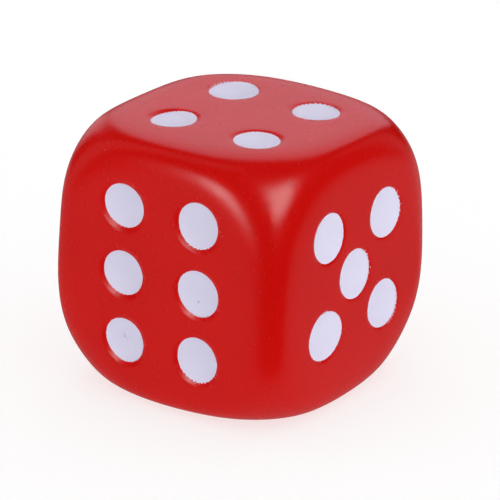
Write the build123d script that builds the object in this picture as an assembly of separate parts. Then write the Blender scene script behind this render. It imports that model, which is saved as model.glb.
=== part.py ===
"""Giant yard die: a soft foam cube with a tough moulded skin, dished pips and white pip paint.

Units are millimetres. +Z is up. The origin is the centre of the bottom face, so the
die stands on Z = 0. The six is on -Y, the five on +X and the four on +Z. Opposite faces
add up to seven: the one is on +Y, the two on -X and the three underneath on -Z.

The outside is one smooth surface: a flat disc in the middle of each face, which blends
into full, soft edges and into corners that run off on a sphere. It is written as a gauge
function (1 on the surface) and laid down as Bezier patches that share their borders.
"""

import math
import os

import numpy as np
from build123d import *

# ---------------------------------------------------------------- driving dimensions (mm)
EDGE = 160.0  # across two opposite faces
HALF = EDGE / 2
FLAT_SHARE = 0.79  # radius of each face's flat disc, over HALF
EDGE_POWER = 15.4  # how tightly the edges turn: higher is sharper
CORNER_RATIO = 1.420  # corner sphere radius, over HALF
CORNER_POWER = 20.7  # how tightly faces and edges run into the corner sphere
SKIN = 1.5  # thickness of the moulded skin

PIP_PAINT_R = 13.84  # radius of the sprayed white disc
PIP_DISH_R = 14.8  # radius of the dish at the face
PIP_DISH_DEPTH = 3.2  # depth of the dish
PAINT = 0.25  # thickness of the pip paint

SIX_COLUMN = 0.323  # pip offsets from the face centre, over HALF
SIX_ROW = 0.505
FIVE_CORNER = 0.360
FOUR_CORNER = 0.368
THREE_CORNER = 0.362
TWO_CORNER = 0.362

DEGREE = 11  # degree of the Bezier patches both ways

# each face: outward normal, then the two in-face directions its pip layout is given in
FACES = {
    "six": ((0, -1, 0), (1, 0, 0), (0, 0, 1)),
    "five": ((1, 0, 0), (0, 1, 0), (0, 0, 1)),
    "four": ((0, 0, 1), (1, 0, 0), (0, 1, 0)),
    "one": ((0, 1, 0), (-1, 0, 0), (0, 0, 1)),
    "two": ((-1, 0, 0), (0, -1, 0), (0, 0, 1)),
    "three": ((0, 0, -1), (1, 0, 0), (0, -1, 0)),
}
PIPS = {
    "six": [(i * SIX_COLUMN, j * SIX_ROW) for j in (1, 0, -1) for i in (-1, 1)],
    "five": [(i * FIVE_CORNER, j * FIVE_CORNER) for i, j in ((-1, 1), (1, 1), (0, 0), (-1, -1), (1, -1))],
    "four": [(i * FOUR_CORNER, j * FOUR_CORNER) for i, j in ((-1, 1), (1, 1), (-1, -1), (1, -1))],
    "three": [(i * THREE_CORNER, j * THREE_CORNER) for i, j in ((-1, 1), (0, 0), (1, -1))],
    "two": [(i * TWO_CORNER, j * TWO_CORNER) for i, j in ((-1, 1), (1, -1))],
    "one": [(0.0, 0.0)],
}


# ---------------------------------------------------------------- the outside as a gauge
def ramp(x, low, high):
    """0 below low, 1 above high, smooth to the second derivative between them."""
    t = np.clip((x - low) / (high - low), 0.0, 1.0)
    return t * t * t * (t * (6 * t - 15) + 10)


def gauge(d):
    """Size of the smallest similar die, half width 1, that reaches the points d."""
    a = np.abs(d)
    m = a.max(-1)
    r = np.sort(a, -1)[..., :2] / m[..., None]
    rho = np.sqrt((a * a).sum(-1)) / m
    edge = (r**EDGE_POWER * ramp(r, FLAT_SHARE, 0.93)).sum(-1)
    corner = (rho / CORNER_RATIO) ** CORNER_POWER * ramp(rho, math.hypot(1, FLAT_SHARE), 1.37)
    return m * ((1 + edge) ** (CORNER_POWER / EDGE_POWER) + corner) ** (1 / CORNER_POWER)


def on_surface(d, inset):
    """The point of the outside in direction d, moved inwards along the normal by inset."""
    p = d / gauge(d)[..., None]
    if inset:
        e = 1e-5
        steps = np.eye(3) * e
        g = np.stack([gauge(p + s) - gauge(p - s) for s in steps], -1) / (2 * e)
        n = g / np.linalg.norm(g, axis=-1)[..., None]
        return HALF * p - inset * n
    return HALF * p


# ---------------------------------------------------------------- Bezier patches
NODES = 0.5 - 0.5 * np.cos(np.pi * np.arange(DEGREE + 1) / DEGREE)
BERNSTEIN = np.array(
    [[math.comb(DEGREE, k) * t**k * (1 - t) ** (DEGREE - k) for k in range(DEGREE + 1)] for t in NODES]
)
TO_POLES = np.linalg.inv(BERNSTEIN)


def spread(points):
    """Running length along rows of points, scaled 0 to 1."""
    length = np.linalg.norm(np.diff(points, axis=-2), axis=-1)
    run = np.concatenate([[0.0], np.cumsum(length)])
    return run / run[-1]


def edge_parameter():
    """Where the patch columns cross the edge line, from corner to corner."""
    s = np.linspace(0.0, 1.0, 2001)
    line = on_surface(np.stack([s, -np.ones_like(s), np.ones_like(s)], -1), 0.0)
    run = spread(line)
    half = np.interp(np.abs(2 * NODES - 1), run, s)
    return np.sign(2 * NODES - 1) * half


COLUMNS = edge_parameter()


def patch_points(inset):
    """Grid of surface points between the flat disc's -y quarter and the -y edge of the face."""
    grid = np.zeros((DEGREE + 1, DEGREE + 1, 3))
    for i, s in enumerate(COLUMNS):
        start = FLAT_SHARE / math.hypot(1, s)
        w = np.linspace(start, 1.0, 2001)
        run = spread(on_surface(np.stack([s * w, -w, np.ones_like(w)], -1), 0.0))
        wi = np.interp(NODES, run, w)
        wi[0], wi[-1] = start, 1.0
        grid[i] = on_surface(np.stack([s * wi, -wi, np.ones_like(wi)], -1), inset)
    return grid


def turned(points, normal, xdir, quarter):
    """Local points (x, y, out of the face) turned about the normal and put on the face."""
    n, x = np.array(normal, float), np.array(xdir, float)
    y = np.cross(n, x)
    c, s = [(1, 0), (0, 1), (-1, 0), (0, -1)][quarter]
    px = points[..., 0] * c - points[..., 1] * s
    py = points[..., 0] * s + points[..., 1] * c
    return px[..., None] * x + py[..., None] * y + points[..., 2][..., None] * n


def body(inset):
    """The whole die, set in by inset all round, as one closed solid centred on 0,0,0."""
    grid = patch_points(inset)
    poles = np.einsum("ai,ijk,bj->abk", TO_POLES, grid, TO_POLES)
    poles[:, 0, 2] = HALF - inset  # the rim of the flat disc is held exactly in its plane
    faces = []
    for normal, xdir, _ in FACES.values():
        rim = []
        for quarter in range(4):
            strip = turned(poles, normal, xdir, quarter)
            faces.append(Face.make_bezier_surface([[tuple(p) for p in row] for row in strip]))
            rim.append(Edge.make_bezier(*[tuple(p) for p in strip[:, 0]]))
        faces.append(Face(Wire(rim)))
    return Solid(Shell(faces))


# ---------------------------------------------------------------- pips
def face_height(u, v):
    """Height of the outside over the die's centre at in-face position u, v."""
    h = HALF
    for _ in range(30):
        p = np.array([u, v, h])
        g = float(gauge(p)) / HALF
        h -= (g - 1) * HALF
    return h


DISH_SPHERE_R = (PIP_DISH_R**2 + PIP_DISH_DEPTH**2) / (2 * PIP_DISH_DEPTH)


def pip_places():
    """Name, centre of the dish sphere, outward normal, in-face direction, for all 21 pips."""
    for face, spots in PIPS.items():
        normal, xdir, ydir = (Vector(*v) for v in FACES[face])
        for k, (u, v) in enumerate(spots):
            up = face_height(u * HALF, v * HALF) - PIP_DISH_DEPTH + DISH_SPHERE_R
            centre = xdir * (u * HALF) + ydir * (v * HALF) + normal * up
            yield f"{face}_pip_{k + 1}", centre, normal, xdir


def ball(centre, normal, xdir, radius):
    """A sphere whose seam and poles are clear of the side that cuts the die."""
    return Plane(origin=centre, x_dir=normal, z_dir=xdir) * Sphere(radius)


def paint(centre, normal, xdir):
    """The thin sprayed cap that lies on the bottom of one dish."""
    low = DISH_SPHERE_R + 1.0
    high = math.sqrt((DISH_SPHERE_R - PAINT) ** 2 - PIP_PAINT_R**2) - 1.0
    column = Plane(origin=centre - normal * low, x_dir=xdir, z_dir=normal) * Cylinder(
        PIP_PAINT_R, low - high, align=(Align.CENTER, Align.CENTER, Align.MIN)
    )
    cap = column & ball(centre, normal, xdir, DISH_SPHERE_R)
    return cap - ball(centre, normal, xdir, DISH_SPHERE_R - PAINT)


def one_solid(shape):
    """The single solid in a boolean's result."""
    solids = shape.solids()
    assert len(solids) == 1, len(solids)
    return solids[0]


# ---------------------------------------------------------------- build
places = list(pip_places())
outside = body(0.0)
inside = body(SKIN)

dishes = [ball(c, n, x, DISH_SPHERE_R) for _, c, n, x in places]
backs = [ball(c, n, x, DISH_SPHERE_R + SKIN) for _, c, n, x in places]

foam_core = one_solid(inside - backs)
outer_skin = one_solid(one_solid(outside - dishes) - foam_core)

pieces = {"foam_core": foam_core, "outer_skin": outer_skin}
for name, centre, normal, xdir in places:
    pieces[name] = one_solid(paint(centre, normal, xdir))

os.makedirs("parts", exist_ok=True)
lift = Pos(0, 0, HALF)
for name, shape in pieces.items():
    solid = lift * shape
    solid.label = name
    export_step(solid, f"parts/{name}.step")
    print(name, round(solid.volume, 1), solid.is_valid)
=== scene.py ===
"""Looks for the giant yard die: moulded red skin with dished pips, sprayed white pip paint."""

import math

import bpy
import numpy as np
from mathutils import Matrix, Vector
from mathutils.geometry import delaunay_2d_cdt


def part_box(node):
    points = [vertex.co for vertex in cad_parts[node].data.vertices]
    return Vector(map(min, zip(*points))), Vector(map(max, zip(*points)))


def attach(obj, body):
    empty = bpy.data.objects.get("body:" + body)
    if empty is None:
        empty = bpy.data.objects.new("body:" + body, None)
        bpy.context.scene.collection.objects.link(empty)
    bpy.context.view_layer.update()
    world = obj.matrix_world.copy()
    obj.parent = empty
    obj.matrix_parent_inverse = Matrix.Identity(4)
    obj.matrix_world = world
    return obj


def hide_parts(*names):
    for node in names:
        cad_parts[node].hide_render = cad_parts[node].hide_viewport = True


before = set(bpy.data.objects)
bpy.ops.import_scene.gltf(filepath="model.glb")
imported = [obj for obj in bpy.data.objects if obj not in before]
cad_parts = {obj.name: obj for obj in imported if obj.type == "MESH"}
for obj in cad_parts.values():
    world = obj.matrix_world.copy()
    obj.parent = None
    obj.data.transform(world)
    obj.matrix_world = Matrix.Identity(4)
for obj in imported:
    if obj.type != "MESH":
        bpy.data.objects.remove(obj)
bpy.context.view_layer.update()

# ------------------------------------------------------------------ the die's shape, in mm
low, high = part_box("outer_skin")
HALF = 0.5 * (high.z - low.z) * 1000.0
CENTRE = np.array([(low.x + high.x) / 2, (low.y + high.y) / 2, (low.z + high.z) / 2]) * 1000.0
EDGE_POWER = 15.4
CORNER_RATIO = 1.420
CORNER_POWER = 20.7
PAINT_R = 13.9
DISH_R = 16.0
DISH_DEPTH = 3.6
RIM_SOFT = 0.42
PAINT_T = 0.22

FACES = {
    "six": ((0, -1, 0), (1, 0, 0), (0, 0, 1)),
    "five": ((1, 0, 0), (0, 1, 0), (0, 0, 1)),
    "four": ((0, 0, 1), (1, 0, 0), (0, 1, 0)),
    "one": ((0, 1, 0), (-1, 0, 0), (0, 0, 1)),
    "two": ((-1, 0, 0), (0, -1, 0), (0, 0, 1)),
    "three": ((0, 0, -1), (1, 0, 0), (0, -1, 0)),
}
FACES = {k: [np.array(v, float) for v in t] for k, t in FACES.items()}


# how each sprayed pip sits: shift from its CAD place in mm (in-face x, y), then the
# stretch of its disc (xx, xy, yy)
SIT = {
    ("six", 1): (0.01, 0.01, 0.993, -0.011, 0.925),
    ("six", 2): (-0.0, -0.18, 0.967, -0.007, 0.989),
    ("six", 3): (-0.35, -0.37, 0.99, -0.012, 0.945),
    ("six", 4): (0.64, -0.21, 1.013, -0.014, 0.967),
    ("six", 5): (0.75, -1.17, 0.966, -0.011, 0.962),
    ("six", 6): (0.7, -0.25, 0.993, -0.01, 0.98),
    ("five", 1): (0.82, 1.66, 1.057, -0.025, 1.074),
    ("five", 2): (0.12, 0.77, 1.112, -0.039, 1.097),
    ("five", 3): (-0.73, 0.84, 1.064, -0.025, 1.09),
    ("five", 4): (-0.41, 0.39, 1.182, -0.011, 1.051),
    ("five", 5): (0.96, 1.77, 1.094, -0.035, 1.082),
    ("four", 1): (0.3, 0.79, 1.055, -0.055, 1.191),
    ("four", 2): (-0.03, 0.6, 1.019, -0.031, 1.05),
    ("four", 3): (2.06, -1.67, 0.911, 0.005, 1.047),
    ("four", 4): (1.87, -2.25, 0.987, -0.035, 1.001),
}


def pip_centres():
    """In-face pip centres, in mm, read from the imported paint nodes."""
    out = {}
    for face, count in (("six", 6), ("five", 5), ("four", 4), ("three", 3), ("two", 2), ("one", 1)):
        n, x, y = FACES[face]
        spots = []
        for k in range(count):
            lo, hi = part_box(f"{face}_pip_{k + 1}")
            c = (np.array(lo) + np.array(hi)) * 500.0 - CENTRE
            shift = SIT.get((face, k + 1), (0, 0))
            spots.append((float(c @ x) + shift[0], float(c @ y) + shift[1]))
        out[face] = spots
    return out


PIPS = pip_centres()


def ramp(x, a, b):
    t = np.clip((x - a) / (b - a), 0.0, 1.0)
    return t * t * t * (t * (6 * t - 15) + 10)


def gauge(d):
    a = np.abs(d)
    m = a.max(-1)
    r = np.sort(a, -1)[..., :2] / m[..., None]
    rho = np.sqrt((a * a).sum(-1)) / m
    edge = (r**EDGE_POWER).sum(-1)
    corner = (rho / CORNER_RATIO) ** CORNER_POWER
    return m * ((1 + edge) ** (CORNER_POWER / EDGE_POWER) + corner) ** (1 / CORNER_POWER)


WAVE_RNG = np.random.default_rng(21)
WAVES = [
    (WAVE_RNG.normal(size=3) * s, WAVE_RNG.uniform(0, 2 * math.pi), a)
    for s, a in [(2.2, 0.5)] * 5 + [(4.5, 0.28)] * 6 + [(9.0, 0.10)] * 6
]


def wave(d):
    """Slow unevenness of the moulded foam: 0 to about -0.5 mm."""
    total = sum(a * np.sin(d @ k + ph) for k, ph, a in WAVES)
    return 0.07 * (total - 2.6)


# the outline of the moulding is not quite true: slow swells and sinks, as waves round a
# centre line through the die (constant, then cosine and sine of 1, 2, 3 ... turns)
RIGHT = np.array([0.8144250491, 0.5799030170, 0.0205992780])
DOWN = np.array([0.2253132518, -0.2833206144, -0.9321820466])
AHEAD = np.array([-0.5347389811, 0.7638336994, -0.3614032398])
EYE = np.array([0.9705062297, -1.3777142857, 0.7291743027])
SWELL = [0.603, -0.103, -0.403, 0.364, -0.001, 0.16, 0.118, 0.682, -0.104, 0.229,
         -0.147, -0.054, 0.245, 0.249, 0.609, -0.269, -0.285, 0.002, 0.359]
REACH = [181.9, -2.22, 0.09, 6.23, -1.57, -0.64, -2.51, -6.18, -2.11, 0.19, 0.16, -2.24, 0.6]


def turns(phi, weights):
    total = np.full_like(phi, weights[0])
    for k in range(1, (len(weights) + 1) // 2):
        total += weights[2 * k - 1] * np.cos(k * phi) + weights[2 * k] * np.sin(k * phi)
    return total


def swell(p):
    """Points in mm, die-centred, moved by the slow swells; faces stay inside the CAD box."""
    at = (p + CENTRE) / 1000.0 - EYE
    deep = at @ AHEAD
    a, b = at @ RIGHT / deep * 3103.7 + 8.0, at @ DOWN / deep * 3103.7 + 5.0
    phi = np.arctan2(b, a)
    share = np.clip(np.hypot(a, b) / turns(phi, REACH), 0, 1.03) ** 6
    shift = turns(phi, SWELL) * share / 1.72
    p = p + (np.cos(phi) * shift)[..., None] * RIGHT + (np.sin(phi) * shift)[..., None] * DOWN
    limit, soft = HALF - 0.11, 0.12
    return np.sign(p) * (limit - soft * np.logaddexp(0.0, (limit - np.abs(p)) / soft))


DISH_SPHERE = (DISH_R**2 + DISH_DEPTH**2) / (2 * DISH_DEPTH)


def dish(r):
    """Depth of a dish at distance r from its centre, with a softly rounded rim."""
    s = np.sqrt(np.clip(DISH_SPHERE**2 - r * r, 1.0, None)) - (DISH_SPHERE - DISH_DEPTH)
    depth = 0.5 * (s + np.sqrt(s * s + RIM_SOFT**2))
    return depth * (1 - ramp(r, 18.5, 23.0))


def place(face, u, v):
    """Skin surface points in mm, die-centred, at in-face parameters u, v (1 is the edge line)."""
    n, x, y = FACES[face]
    d = u[..., None] * x + v[..., None] * y + n
    unit = d / np.linalg.norm(d, axis=-1)[..., None]
    p = HALF * d / gauge(d)[..., None]
    p = swell(p + unit * wave(unit)[..., None])
    for cx, cy in PIPS[face]:
        r = np.hypot(u * HALF - cx, v * HALF - cy)
        p = p - n * dish(r)[..., None]
    return p


def normals(face, u, v):
    e = 2e-4
    pu = place(face, u + e, v) - place(face, u - e, v)
    pv = place(face, u, v + e) - place(face, u, v - e)
    n = np.cross(pu, pv)
    return n / np.linalg.norm(n, axis=-1)[..., None]


# ------------------------------------------------------------------ meshes
def make_mesh(name, verts_mm, faces, vert_normals=None):
    mesh = bpy.data.meshes.new(name)
    mesh.from_pydata(((verts_mm + CENTRE) / 1000.0).tolist(), [], [list(f) for f in faces])
    mesh.validate()
    mesh.update()
    mesh.shade_smooth()
    if vert_normals is not None:
        mesh.normals_split_custom_set_from_vertices(vert_normals.tolist())
    obj = bpy.data.objects.new(name, mesh)
    bpy.context.scene.collection.objects.link(obj)
    return obj


def face_layout(face):
    """Points over one face: a grid that is finer in the rounded edges, and rings about each pip."""
    half = np.concatenate([np.linspace(0, 0.76, 31), np.linspace(0.76, 1.0, 27)[1:]])
    t = np.concatenate([-half[:0:-1], half])
    gu, gv = np.meshgrid(t, t, indexing="ij")
    pts = np.stack([gu.ravel(), gv.ravel()], -1)
    rings = [(0.0, 1)] + [(r, 24) for r in (1.6, 3.2, 4.8)] + [(r, 48) for r in (6.4, 8.0, 9.6, 11.0)]
    rings += [(r, 96) for r in (12.0, 12.8, 13.5, 14.1, 14.6, 15.0, 15.35, 15.65, 15.95, 16.25, 16.65, 17.3)]
    for cx, cy in PIPS[face]:
        keep = np.hypot(pts[:, 0] * HALF - cx, pts[:, 1] * HALF - cy) > 18.1
        pts = pts[keep]
    extra = []
    for cx, cy in PIPS[face]:
        for k, (r, m) in enumerate(rings):
            th = 2 * math.pi * (np.arange(m) + 0.5 * (k % 2)) / m
            extra.append(np.stack([(cx + r * np.cos(th)) / HALF, (cy + r * np.sin(th)) / HALF], -1))
    return np.concatenate([pts] + extra)


def build_skin():
    all_p, all_n, all_f = [], [], []
    offset = 0
    for face in FACES:
        uv = face_layout(face)
        got = delaunay_2d_cdt([Vector(p) for p in uv], [], [], 0, 1e-7)
        uv2 = np.array([list(p) for p in got[0]])
        tris = np.array([list(t) for t in got[2]])
        all_p.append(place(face, uv2[:, 0], uv2[:, 1]))
        all_n.append(normals(face, uv2[:, 0], uv2[:, 1]))
        all_f.append(tris + offset)
        offset += len(uv2)
    p, n, f = np.concatenate(all_p), np.concatenate(all_n), np.concatenate(all_f)
    key = np.round(p / 2e-3).astype(np.int64)
    _, first, back = np.unique(key, axis=0, return_index=True, return_inverse=True)
    back = back.reshape(-1)
    summed = np.zeros((len(first), 3))
    np.add.at(summed, back, n)
    summed /= np.linalg.norm(summed, axis=1)[:, None]
    f = back[f]
    f = f[(f[:, 0] != f[:, 1]) & (f[:, 1] != f[:, 2]) & (f[:, 0] != f[:, 2])]
    return make_mesh("skin_surface", p[first], f, summed)


# ragged arcs of the sprayed edge: face, pip number -> list of (middle angle, half width, size in mm)
RAGGED = {
    ("six", 1): [(-95, 45, 0.10)],
    ("six", 2): [(-80, 50, 0.10)],
    ("six", 3): [(-100, 40, 0.12)],
    ("six", 4): [(-95, 50, 0.17), (60, 30, 0.07)],
    ("six", 5): [(-70, 60, 0.18)],
    ("six", 6): [(-90, 70, 0.13), (30, 30, 0.08)],
    ("five", 1): [(60, 50, 0.12)],
    ("five", 2): [(15, 55, 0.28)],
    ("five", 3): [(20, 55, 0.32)],
    ("five", 4): [(-110, 40, 0.18), (100, 30, 0.20)],
    ("five", 5): [(-40, 60, 0.38)],
    ("four", 1): [(160, 60, 0.36)],
    ("four", 2): [(120, 70, 0.22)],
    ("four", 3): [(130, 50, 0.16)],
    ("four", 4): [(120, 60, 0.16)],
}
# drops of overspray beside the edge: face, pip number -> list of (angle, distance from centre, radius)
DROPS = {
    ("five", 2): [(4, 14.5, 0.42), (22, 14.4, 0.34), (38, 14.5, 0.30), (-12, 14.3, 0.28), (52, 14.3, 0.26)],
    ("five", 3): [(33, 14.3, 0.50), (-2, 15.0, 0.42), (14, 14.4, 0.34), (-14, 14.3, 0.32), (46, 14.5, 0.30), (-27, 14.3, 0.26)],
    ("five", 5): [
        (-27, 14.4, 0.42), (-36, 14.6, 0.38), (-44, 14.6, 0.46), (-52, 15.0, 0.40), (-60, 15.2, 0.42), (-66, 14.6, 0.32),
    ],
    ("five", 4): [(-104, 14.4, 0.34), (-112, 14.6, 0.24), (96, 14.3, 0.26)],
    ("six", 4): [(-112, 14.6, 0.30), (-103, 14.7, 0.24)],
    ("six", 6): [(-95, 14.7, 0.30), (-84, 14.5, 0.24), (-20, 15.0, 0.20), (-28, 15.4, 0.18)],
    ("six", 2): [(-118, 14.6, 0.24)],
    ("four", 1): [
        (150, 14.5, 0.46), (158, 14.9, 0.50), (165, 14.5, 0.42), (171, 15.1, 0.48), (178, 14.6, 0.44), (184, 15.0, 0.36),
        (190, 14.5, 0.40), (143, 14.7, 0.34), (175, 15.7, 0.26), (162, 15.8, 0.24), (200, 14.5, 0.30),
    ],
    ("four", 2): [(128, 14.4, 0.26), (141, 14.5, 0.22)],
}


def edge_radius(face, number, th):
    """Radius of the sprayed disc at angle th: a nearly round mask edge with ragged arcs."""
    rng = np.random.default_rng(1000 + 37 * number + 101 * list(FACES).index(face))
    r = np.full_like(th, PAINT_R)
    for k in range(2, 7):
        r += 0.10 / k * rng.normal() * np.cos(k * th + rng.uniform(0, 6.283))
    for k in range(9, 30, 3):
        r += 0.014 * rng.normal() * np.cos(k * th + rng.uniform(0, 6.283))
    arcs = RAGGED.get((face, number)) or [(rng.uniform(-180, 180), rng.uniform(25, 55), rng.uniform(0.05, 0.16))]
    for mid, wide, size in arcs:
        away = np.abs((np.degrees(th) - mid + 180) % 360 - 180)
        w = np.clip(1 - (away / wide) ** 2, 0, None) ** 0.5
        rough = sum(rng.normal() * np.sin(k * th + rng.uniform(0, 6.283)) for k in (31, 43, 57, 71, 88))
        r += w * size * 1.05 * rough
    return r


def build_paint(face, number, cx, cy):
    """The sprayed disc in one dish, as one closed film, with its drops of overspray."""
    m = 180
    th = 2 * math.pi * np.arange(m) / m
    rim = edge_radius(face, number, th)
    share = np.array([0.0, 0.12, 0.26, 0.42, 0.58, 0.72, 0.83, 0.91, 0.955, 0.98, 0.992, 1.0])
    inner = share[1:]
    lift = PAINT_T * np.sqrt(np.clip(1 - (np.clip(share - 0.955, 0, None) / 0.045) ** 2, 0, None)) - 0.02
    uv = [np.array([[cx, cy]])]
    xx, xy, yy = SIT.get((face, number), (0, 0, 1, 0, 1))[2:]
    for s in inner:
        # the raggedness belongs to the edge: it fades towards the middle
        k = ramp(np.array(s), 0.6, 1.0)
        r = s * (PAINT_R * (1 - k) + rim * k)
        uv.append(np.stack([cx + r * (xx * np.cos(th) + xy * np.sin(th)), cy + r * (xy * np.cos(th) + yy * np.sin(th))], -1))
    uv = np.concatenate(uv) / HALF
    base, n = place(face, uv[:, 0], uv[:, 1]), normals(face, uv[:, 0], uv[:, 1])
    height = np.concatenate([[lift[0]]] + [np.full(m, h) for h in lift[1:]])
    top = base + n * height[:, None]
    bottom = base - n * 0.06
    count = len(uv)
    outer = 1 + (len(inner) - 1) * m
    # the two sides share the outermost ring
    under = np.arange(count) + count
    under[outer:] = np.arange(outer, count)
    faces = []
    for j in range(m):
        k = (j + 1) % m
        faces.append((0, 1 + j, 1 + k))
        faces.append((under[0], under[1 + k], under[1 + j]))
        for q in range(len(inner) - 1):
            a, b = 1 + q * m, 1 + (q + 1) * m
            faces.append((a + j, b + j, b + k, a + k))
            faces.append((under[a + k], under[b + k], under[b + j], under[a + j]))
    verts = np.concatenate([top, bottom[:outer]])
    for ang, dist, size in DROPS.get((face, number), []):
        a = math.radians(ang)
        centre = np.array(
            [cx + dist * (xx * math.cos(a) + xy * math.sin(a)), cy + dist * (xy * math.cos(a) + yy * math.sin(a))]
        )
        start = len(verts)
        q = 12
        ring = np.arange(q) * 2 * math.pi / q
        shape = 1 + 0.22 * np.cos(2 * ring + ang) + 0.12 * np.cos(3 * ring + 2 * ang)
        cells = [centre[None]]
        for s in (0.55, 1.0):
            cells.append(centre + size * s * (shape[:, None] * np.stack([np.cos(ring), np.sin(ring)], -1)))
        cell = np.concatenate(cells) / HALF
        pb, nb = place(face, cell[:, 0], cell[:, 1]), normals(face, cell[:, 0], cell[:, 1])
        tall = np.concatenate([[0.09], np.full(q, 0.07), np.full(q, -0.02)])
        drop = np.concatenate([pb + nb * tall[:, None], pb[:1] - nb[:1] * 0.06])
        verts = np.concatenate([verts, drop])
        for j in range(q):
            k = (j + 1) % q
            faces.append((start, start + 1 + j, start + 1 + k))
            faces.append((start + 1 + j, start + 1 + q + j, start + 1 + q + k, start + 1 + k))
            faces.append((start + 1 + 2 * q, start + 1 + q + k, start + 1 + q + j))
    return make_mesh(f"paint_{face}_{number}", verts, faces)


# ------------------------------------------------------------------ materials
def new_material(name):
    m = bpy.data.materials.new(name)
    m.use_nodes = True
    nt = m.node_tree
    for nd in list(nt.nodes):
        nt.nodes.remove(nd)
    out = nt.nodes.new("ShaderNodeOutputMaterial")
    bsdf = nt.nodes.new("ShaderNodeBsdfPrincipled")
    nt.links.new(bsdf.outputs[0], out.inputs[0])
    return m, nt, bsdf


def noise(nt, coord, scale, detail=2.0, rough=0.5):
    nd = nt.nodes.new("ShaderNodeTexNoise")
    nd.inputs["Scale"].default_value = scale
    nd.inputs["Detail"].default_value = detail
    nd.inputs["Roughness"].default_value = rough
    nt.links.new(coord, nd.inputs["Vector"])
    return nd.outputs["Fac"]


def math_node(nt, op, a, b=None, c=None):
    nd = nt.nodes.new("ShaderNodeMath")
    nd.operation = op
    for k, v in enumerate((a, b, c)):
        if v is None:
            continue
        if isinstance(v, (int, float)):
            nd.inputs[k].default_value = v
        else:
            nt.links.new(v, nd.inputs[k])
    return nd.outputs[0]


def spread_range(nt, value, a, b, lo, hi):
    nd = nt.nodes.new("ShaderNodeMapRange")
    nd.inputs["From Min"].default_value = a
    nd.inputs["From Max"].default_value = b
    nd.inputs["To Min"].default_value = lo
    nd.inputs["To Max"].default_value = hi
    nt.links.new(value, nd.inputs["Value"])
    return nd.outputs["Result"]


def mix(nt, fac, a, b):
    nd = nt.nodes.new("ShaderNodeMix")
    nd.data_type = "RGBA"
    if isinstance(fac, (int, float)):
        nd.inputs[0].default_value = fac
    else:
        nt.links.new(fac, nd.inputs[0])
    for sock, v in ((6, a), (7, b)):
        if isinstance(v, tuple):
            nd.inputs[sock].default_value = (*v, 1.0)
        else:
            nt.links.new(v, nd.inputs[sock])
    return nd.outputs[2]


def bump(nt, bsdf, layers):
    """layers: (height, strength, distance in m), chained onto the shader's normal."""
    last = None
    for height, strength, distance in layers:
        nd = nt.nodes.new("ShaderNodeBump")
        nd.inputs["Strength"].default_value = strength
        nd.inputs["Distance"].default_value = distance
        nt.links.new(height, nd.inputs["Height"])
        if last is not None:
            nt.links.new(last, nd.inputs["Normal"])
        last = nd.outputs["Normal"]
    nt.links.new(last, bsdf.inputs["Normal"])


def dots(nt, coord, scale, radius, share, seed=0.0):
    """Sparse round specks: 1 inside a speck."""
    shift = nt.nodes.new("ShaderNodeVectorMath")
    shift.operation = "ADD"
    nt.links.new(coord, shift.inputs[0])
    shift.inputs[1].default_value = (seed, seed * 0.7, -seed)
    vor = nt.nodes.new("ShaderNodeTexVoronoi")
    vor.feature = "F1"
    vor.inputs["Scale"].default_value = scale
    nt.links.new(shift.outputs[0], vor.inputs["Vector"])
    near = math_node(nt, "LESS_THAN", vor.outputs["Distance"], radius * scale)
    sep = nt.nodes.new("ShaderNodeSeparateColor")
    nt.links.new(vor.outputs["Color"], sep.inputs[0])
    rare = math_node(nt, "LESS_THAN", sep.outputs[0], share)
    return math_node(nt, "MULTIPLY", near, rare)


def spot(nt, coord, x, z, outer, inner):
    """1 inside a soft round spot seen along Y, at x, z in mm from the die's centre."""
    flat = nt.nodes.new("ShaderNodeVectorMath")
    flat.operation = "MULTIPLY"
    nt.links.new(coord, flat.inputs[0])
    flat.inputs[1].default_value = (1, 0, 1)
    gap = nt.nodes.new("ShaderNodeVectorMath")
    gap.operation = "DISTANCE"
    nt.links.new(flat.outputs[0], gap.inputs[0])
    gap.inputs[1].default_value = ((x + CENTRE[0]) / 1000.0, 0, (z + CENTRE[2]) / 1000.0)
    return spread_range(nt, gap.outputs["Value"], outer / 1000.0, inner / 1000.0, 0.0, 1.0)


def skin_material():
    m, nt, bsdf = new_material("red_moulded_skin")
    coord = nt.nodes.new("ShaderNodeTexCoord").outputs["Object"]
    broad = noise(nt, coord, 14.0, 3.0)
    fine = noise(nt, coord, 160.0, 3.0)
    tone = mix(nt, spread_range(nt, broad, 0.35, 0.65, 0.0, 1.0), (0.585, 0.0038, 0.0026), (0.625, 0.0052, 0.0040))
    tone = mix(nt, spread_range(nt, fine, 0.35, 0.70, 0.0, 0.15), tone, (0.535, 0.0036, 0.0030))
    specks = dots(nt, coord, 62.0, 0.00034, 0.022, 1.3)
    # pits: tiny pinholes in the skin with no depth of their own, painted as dark red dots of shade
    painted_pit_shade = dots(nt, coord, 80.0, 0.00026, 0.012, 4.1)
    tone = mix(nt, math_node(nt, "MULTIPLY", specks, 0.75), tone, (0.72, 0.34, 0.33))
    tone = mix(nt, math_node(nt, "MULTIPLY", painted_pit_shade, 0.6), tone, (0.25, 0.004, 0.004))
    nt.links.new(tone, bsdf.inputs["Base Color"])
    rough = spread_range(nt, fine, 0.3, 0.7, 0.25, 0.28)
    nt.links.new(rough, bsdf.inputs["Roughness"])
    bsdf.inputs["IOR"].default_value = 1.5
    peel = noise(nt, coord, 900.0, 2.0)
    grain = noise(nt, coord, 2400.0, 2.0)
    bump(nt, bsdf, [(peel, 0.018, 0.0005), (grain, 0.035, 0.0002)])
    return m


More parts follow.
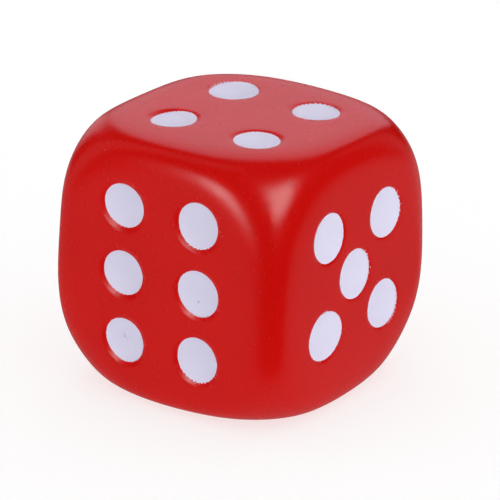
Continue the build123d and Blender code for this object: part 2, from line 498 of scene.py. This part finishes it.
def paint_material():
    m, nt, bsdf = new_material("white_pip_paint")
    coord = nt.nodes.new("ShaderNodeTexCoord").outputs["Object"]
    broad = noise(nt, coord, 60.0, 3.0)
    fine = noise(nt, coord, 420.0, 4.0)
    tone = mix(nt, spread_range(nt, broad, 0.35, 0.65, 0.0, 1.0), (0.665, 0.637, 0.800), (0.685, 0.655, 0.820))
    tone = mix(nt, spread_range(nt, fine, 0.40, 0.75, 0.0, 0.12), tone, (0.66, 0.58, 0.74))
    # thin spots where the red shows through a little
    thin = spread_range(nt, noise(nt, coord, 150.0, 4.0, 0.6), 0.62, 0.78, 0.0, 0.10)
    tone = mix(nt, thin, tone, (0.68, 0.50, 0.60))
    # a rubbed smudge on the six's lower left pip; the pinhole in its middle right one is painted shade, a dark
    # spot of colour
    (sx, sz), (hx, hz) = PIPS["six"][4], PIPS["six"][3]
    smear = spread_range(nt, noise(nt, coord, 520.0, 3.0, 0.7), 0.42, 0.62, 0.0, 1.0)
    smudge = math_node(nt, "MULTIPLY", spot(nt, coord, sx - 1.7, sz + 1.3, 3.6, 1.2), smear)
    tone = mix(nt, math_node(nt, "MULTIPLY", smudge, 0.55), tone, (0.47, 0.33, 0.44))
    # painted shade: the pinhole is only a dark spot of colour, with no hole in the film
    painted_hole_shade = spot(nt, coord, hx - 1.0, hz - 5.5, 0.62, 0.30)
    tone = mix(nt, math_node(nt, "MULTIPLY", painted_hole_shade, 0.85), tone, (0.16, 0.03, 0.06))
    nt.links.new(tone, bsdf.inputs["Base Color"])
    nt.links.new(spread_range(nt, fine, 0.3, 0.7, 0.42, 0.52), bsdf.inputs["Roughness"])
    bsdf.inputs["IOR"].default_value = 1.45
    bump(nt, bsdf, [(noise(nt, coord, 700.0, 2.0), 0.18, 0.0005), (fine, 0.15, 0.0004)])
    return m


def foam_material():
    m, nt, bsdf = new_material("soft_foam")
    coord = nt.nodes.new("ShaderNodeTexCoord").outputs["Object"]
    vor = nt.nodes.new("ShaderNodeTexVoronoi")
    vor.inputs["Scale"].default_value = 900.0
    nt.links.new(coord, vor.inputs["Vector"])
    cells = vor.outputs["Distance"]
    broad = noise(nt, coord, 30.0, 3.0)
    # painted shade: the foam is darker at the middle of each cell, just where the bump below makes its hollow
    tone = mix(nt, spread_range(nt, cells, 0.0, 0.6, 0.0, 1.0), (0.62, 0.56, 0.42), (0.84, 0.79, 0.66))
    tone = mix(nt, spread_range(nt, broad, 0.3, 0.7, 0.0, 0.4), tone, (0.74, 0.68, 0.52))
    nt.links.new(tone, bsdf.inputs["Base Color"])
    bsdf.inputs["Roughness"].default_value = 0.95
    bump(nt, bsdf, [(cells, 0.6, 0.0006)])
    return m


# ------------------------------------------------------------------ pieces
skin_mat, paint_mat, foam_mat = skin_material(), paint_material(), foam_material()

skin = build_skin()
skin.data.materials.append(skin_mat)
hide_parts("outer_skin")
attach(skin, "root")

films = []
for face, spots in PIPS.items():
    for k, (cx, cy) in enumerate(spots):
        film = build_paint(face, k + 1, cx, cy)
        films.append(film)
        film.data.materials.append(paint_mat)
        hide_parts(f"{face}_pip_{k + 1}")
        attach(film, "root")

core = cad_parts["foam_core"]
for k in range(max(1, len(core.material_slots))):
    if core.material_slots:
        core.material_slots[k].material = foam_mat
    else:
        core.data.materials.append(foam_mat)

# ------------------------------------------------------------------ floor
S = 6.0
mesh = bpy.data.meshes.new("floor")
mesh.from_pydata([(-S, -S, 0), (S, -S, 0), (S, S, 0), (-S, S, 0)], [], [(0, 1, 2, 3)])
floor = bpy.data.objects.new("floor", mesh)
bpy.context.scene.collection.objects.link(floor)
fm, fnt, fb = new_material("pale_floor")
fb.inputs["Base Color"].default_value = (0.34, 0.34, 0.34, 1)
fb.inputs["Roughness"].default_value = 0.9
fb.inputs["Specular IOR Level"].default_value = 0.0
fb.inputs["Emission Color"].default_value = (1, 1, 1, 1)
fb.inputs["Emission Strength"].default_value = 0.70
floor.data.materials.append(fm)
floor.visible_glossy = False
floor.visible_diffuse = False
floor.visible_shadow = False

# ------------------------------------------------------------------ light
MID = Vector((0, 0, 0.08))
FILL = 0.92


def direction(az, el):
    a, e = math.radians(az), math.radians(el)
    return Vector((math.sin(a) * math.cos(e), -math.cos(a) * math.cos(e), math.sin(e)))


def area(name, az, el, dist, w, h, radiance, glossy=True, diffuse=True, bounce=True, tint=(1, 1, 1)):
    light = bpy.data.lights.new(name, "AREA")
    light.shape = "RECTANGLE"
    light.size, light.size_y = w, h
    light.energy = radiance * math.pi * w * h
    light.color = tint
    light.cycles.use_multiple_importance_sampling = bounce
    o = bpy.data.objects.new(name, light)
    bpy.context.scene.collection.objects.link(o)
    d = direction(az, el)
    o.location = MID + d * dist
    o.rotation_euler = d.to_track_quat("Z", "Y").to_euler()
    o.visible_camera = False
    o.visible_glossy = glossy
    o.visible_diffuse = diffuse
    return o


# reflections come from the softboxes and the large dim panels
area("corner_softbox", 72.5, 37.2, 1.2, 0.64, 0.63, 4.75, diffuse=False, bounce=False)
area("front_softbox", -15.5, 6.5, 1.2, 0.30, 0.36, 6.2, diffuse=False, bounce=False)
area("back_panel", -150.5, 28.0, 3.0, 2.0, 2.45, 0.70, diffuse=False, tint=(0.95, 0.97, 1.10))
area("back_left_panel", -122.0, 8.5, 3.0, 1.0, 1.25, 0.63, diffuse=False, tint=(0.95, 0.97, 1.08))
area("back_right_panel", 173.5, -14.5, 3.0, 1.35, 1.0, 0.12, diffuse=False)
area("left_panel", -72.7, 38.5, 3.0, 1.6, 6.1, 0.22, diffuse=False)
area("right_panel", 161.9, 16.0, 3.0, 1.2, 2.2, 0.15, diffuse=False)
under = area("under_panel", 0, -90, 1.1, 11.0, 11.0, 0.25, diffuse=False)
under.location = (-3.55, 2.77, -1.02)
under.rotation_euler = (math.pi, 0, math.radians(-38))

# the even fill is a tent of light on all six sides, with no reflection of its own
for name, az, el in (
    ("tent_front", 0, 0),
    ("tent_right", 90, 0),
    ("tent_back", 180, 0),
    ("tent_left", -90, 0),
    ("tent_top", 0, 90),
    ("tent_under", 0, -90),
):
    share = {"tent_top": 0.92, "tent_right": 1.12}.get(name, 1.0)
    area(name, az, el, 4.0, 8.0, 8.0, FILL * share, glossy=False, bounce=False)

# the side light that models the dishes falls on the paint alone
side = area("corner_fill", 72.5, 27.0, 1.2, 0.64, 0.63, 2.2, glossy=False, bounce=False, tint=(1.0, 1.0, 0.88))
painted = bpy.data.collections.new("painted_pips")
for film in films:
    painted.objects.link(film)
side.light_linking.receiver_collection = painted

world = bpy.data.worlds.new("studio")
bpy.context.scene.world = world
world.use_nodes = True
bg = world.node_tree.nodes["Background"]
bg.inputs[0].default_value = (1.0, 1.0, 1.0, 1)
bg.inputs[1].default_value = 1.0
world.cycles.sampling_method = "NONE"
world.cycles_visibility.diffuse = False
world.cycles_visibility.glossy = False

# ------------------------------------------------------------------ camera
cam = bpy.data.cameras.new("camera")
cam.sensor_width = 36.0
cam.lens = 3103.7035 / 500.0 * 36.0
camera = bpy.data.objects.new("camera", cam)
bpy.context.scene.collection.objects.link(camera)
camera.matrix_world = Matrix(
    [
        [RIGHT[k], -DOWN[k], -AHEAD[k], EYE[k]]
        for k in range(3)
    ]
    + [[0, 0, 0, 1]]
)
cam.clip_end = 50.0
bpy.context.scene.camera = camera
bpy.context.scene.view_settings.view_transform = "Standard"
